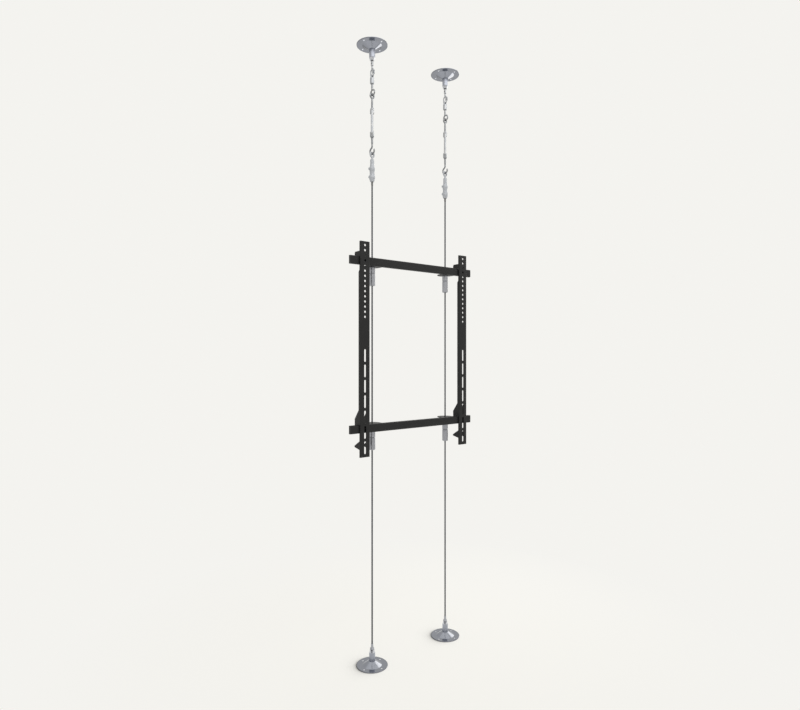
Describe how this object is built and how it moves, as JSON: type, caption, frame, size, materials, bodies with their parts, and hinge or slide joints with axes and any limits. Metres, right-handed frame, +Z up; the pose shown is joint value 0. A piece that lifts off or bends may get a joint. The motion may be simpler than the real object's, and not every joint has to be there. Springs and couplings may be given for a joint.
{
  "type": "tv ceiling mount",
  "caption": "Floor-to-ceiling cable mount: tensioned steel cables carry black rails on clamp grippers, with hook-on slotted brackets for a screen.",
  "frame": {"origin": "on the floor plane, midway between the two cables", "axes": "+X runs along the rails to the right-hand cable, +Y points to the rear of the rails, +Z is up"},
  "size_m": [0.488, 0.094, 1.87],
  "materials": {
    "polished_steel": "polished grey plating",
    "zinc": "zinc plated, satin",
    "nickel": "satin nickel",
    "cable_steel": "bare stranded steel",
    "black_coat": "satin black powder coat",
    "dark_sleeve": "matte black sleeve"
  },
  "bodies": {
    "base": {"cable_left": "cable_steel", "cable_right": "cable_steel", "ceiling_barrel_left": "polished_steel", "ceiling_barrel_right": "polished_steel", "ceiling_plate_left": "polished_steel", "ceiling_plate_right": "polished_steel", "ceiling_stud_left": "zinc", "ceiling_stud_right": "zinc", "clamp_boot_left": "dark_sleeve", "clamp_boot_right": "dark_sleeve", "clamp_screws": "zinc", "end_clamp_left": "nickel", "end_clamp_right": "nickel", "floor_barrel_left": "polished_steel", "floor_barrel_right": "polished_steel", "floor_plate_left": "polished_steel", "floor_plate_right": "polished_steel", "floor_terminal_left": "nickel", "floor_terminal_right": "nickel", "fork_pins": "zinc", "gate_pins": "zinc", "snap_hook_left": "zinc", "snap_hook_right": "zinc", "swivel_bail_left": "zinc", "swivel_bail_right": "zinc", "swivel_collar_left": "zinc", "swivel_collar_right": "zinc"},
    "bracket_left": {"bracket_left": "black_coat"},
    "bracket_right": {"bracket_right": "black_coat"},
    "rail_set": {"collet_lower_left": "nickel", "collet_lower_right": "nickel", "collet_upper_left": "nickel", "collet_upper_right": "nickel", "gripper_body_lower_left": "nickel", "gripper_body_lower_right": "nickel", "gripper_body_upper_left": "nickel", "gripper_body_upper_right": "nickel", "gripper_cap_lower_left": "nickel", "gripper_cap_lower_right": "nickel", "gripper_cap_upper_left": "nickel", "gripper_cap_upper_right": "nickel", "rail_lower": "black_coat", "rail_upper": "black_coat"},
    "snap_gate_left": {"snap_gate_left": "zinc"},
    "snap_gate_right": {"snap_gate_right": "zinc"},
    "swivel_ring_left": {"swivel_ring_left": "zinc"},
    "swivel_ring_right": {"swivel_ring_right": "zinc"},
    "turnbuckle_eye_left": {"turnbuckle_eye_left": "zinc"},
    "turnbuckle_eye_right": {"turnbuckle_eye_right": "zinc"},
    "turnbuckle_frame_left": {"turnbuckle_frame_left": "zinc"},
    "turnbuckle_frame_right": {"turnbuckle_frame_right": "zinc"},
    "turnbuckle_hook_left": {"turnbuckle_hook_left": "zinc"},
    "turnbuckle_hook_right": {"turnbuckle_hook_right": "zinc"}
  },
  "joints": [
    {"name": "rail_height", "type": "slide", "parent": "base", "child": "rail_set", "axis": [0, 0, 1], "range_m": [-0.5, 0.2]},
    {"name": "bracket_left_slide", "type": "slide", "parent": "rail_set", "child": "bracket_left", "axis": [1, 0, 0], "range_m": [-0.029, 0.003]},
    {"name": "bracket_right_slide", "type": "slide", "parent": "rail_set", "child": "bracket_right", "axis": [1, 0, 0], "range_m": [-0.009, 0.023]},
    {"name": "snap_gate_left_hinge", "type": "hinge", "parent": "base", "child": "snap_gate_left", "pos_m": [-0.14951, -0.00558, 1.793], "axis": [0.9962, 0.0872, 0], "range_deg": [0, 28], "stiffness_Nm_per_rad": 0.02, "springref_deg": -20.05},
    {"name": "swivel_left_turn", "type": "hinge", "parent": "base", "child": "swivel_ring_left", "pos_m": [-0.15, 0, 1.74], "axis": [0, 0, 1], "range_deg": [-20, 20]},
    {"name": "turnbuckle_left_turn", "type": "hinge", "parent": "base", "child": "turnbuckle_frame_left", "pos_m": [-0.15, 0, 1.634], "axis": [0, 0, 1], "range_deg": [0, 1080]},
    {"name": "turnbuckle_left_eye_screw", "type": "slide", "parent": "base", "child": "turnbuckle_eye_left", "axis": [0, 0, 1], "range_m": [0, 0.0031]},
    {"name": "turnbuckle_left_hook_screw", "type": "slide", "parent": "base", "child": "turnbuckle_hook_left", "axis": [0, 0, 1], "range_m": [-0.0031, 0]},
    {"name": "snap_gate_right_hinge", "type": "hinge", "parent": "base", "child": "snap_gate_right", "pos_m": [0.15049, -0.00558, 1.793], "axis": [0.9962, 0.0872, 0], "range_deg": [0, 28], "stiffness_Nm_per_rad": 0.02, "springref_deg": -20.05},
    {"name": "swivel_right_turn", "type": "hinge", "parent": "base", "child": "swivel_ring_right", "pos_m": [0.15, 0, 1.74], "axis": [0, 0, 1], "range_deg": [-20, 20]},
    {"name": "turnbuckle_right_turn", "type": "hinge", "parent": "base", "child": "turnbuckle_frame_right", "pos_m": [0.15, 0, 1.634], "axis": [0, 0, 1], "range_deg": [0, 1080]},
    {"name": "turnbuckle_right_eye_screw", "type": "slide", "parent": "base", "child": "turnbuckle_eye_right", "axis": [0, 0, 1], "range_m": [0, 0.0031]},
    {"name": "turnbuckle_right_hook_screw", "type": "slide", "parent": "base", "child": "turnbuckle_hook_right", "axis": [0, 0, 1], "range_m": [-0.0031, 0]}
  ],
  "couplings": [
    {"joint": "turnbuckle_left_eye_screw", "follows": "turnbuckle_left_turn", "m_per_rad": 0.00015915},
    {"joint": "turnbuckle_left_hook_screw", "follows": "turnbuckle_left_turn", "m_per_rad": -0.00015915},
    {"joint": "turnbuckle_right_eye_screw", "follows": "turnbuckle_right_turn", "m_per_rad": 0.00015915},
    {"joint": "turnbuckle_right_hook_screw", "follows": "turnbuckle_right_turn", "m_per_rad": -0.00015915}
  ]
}
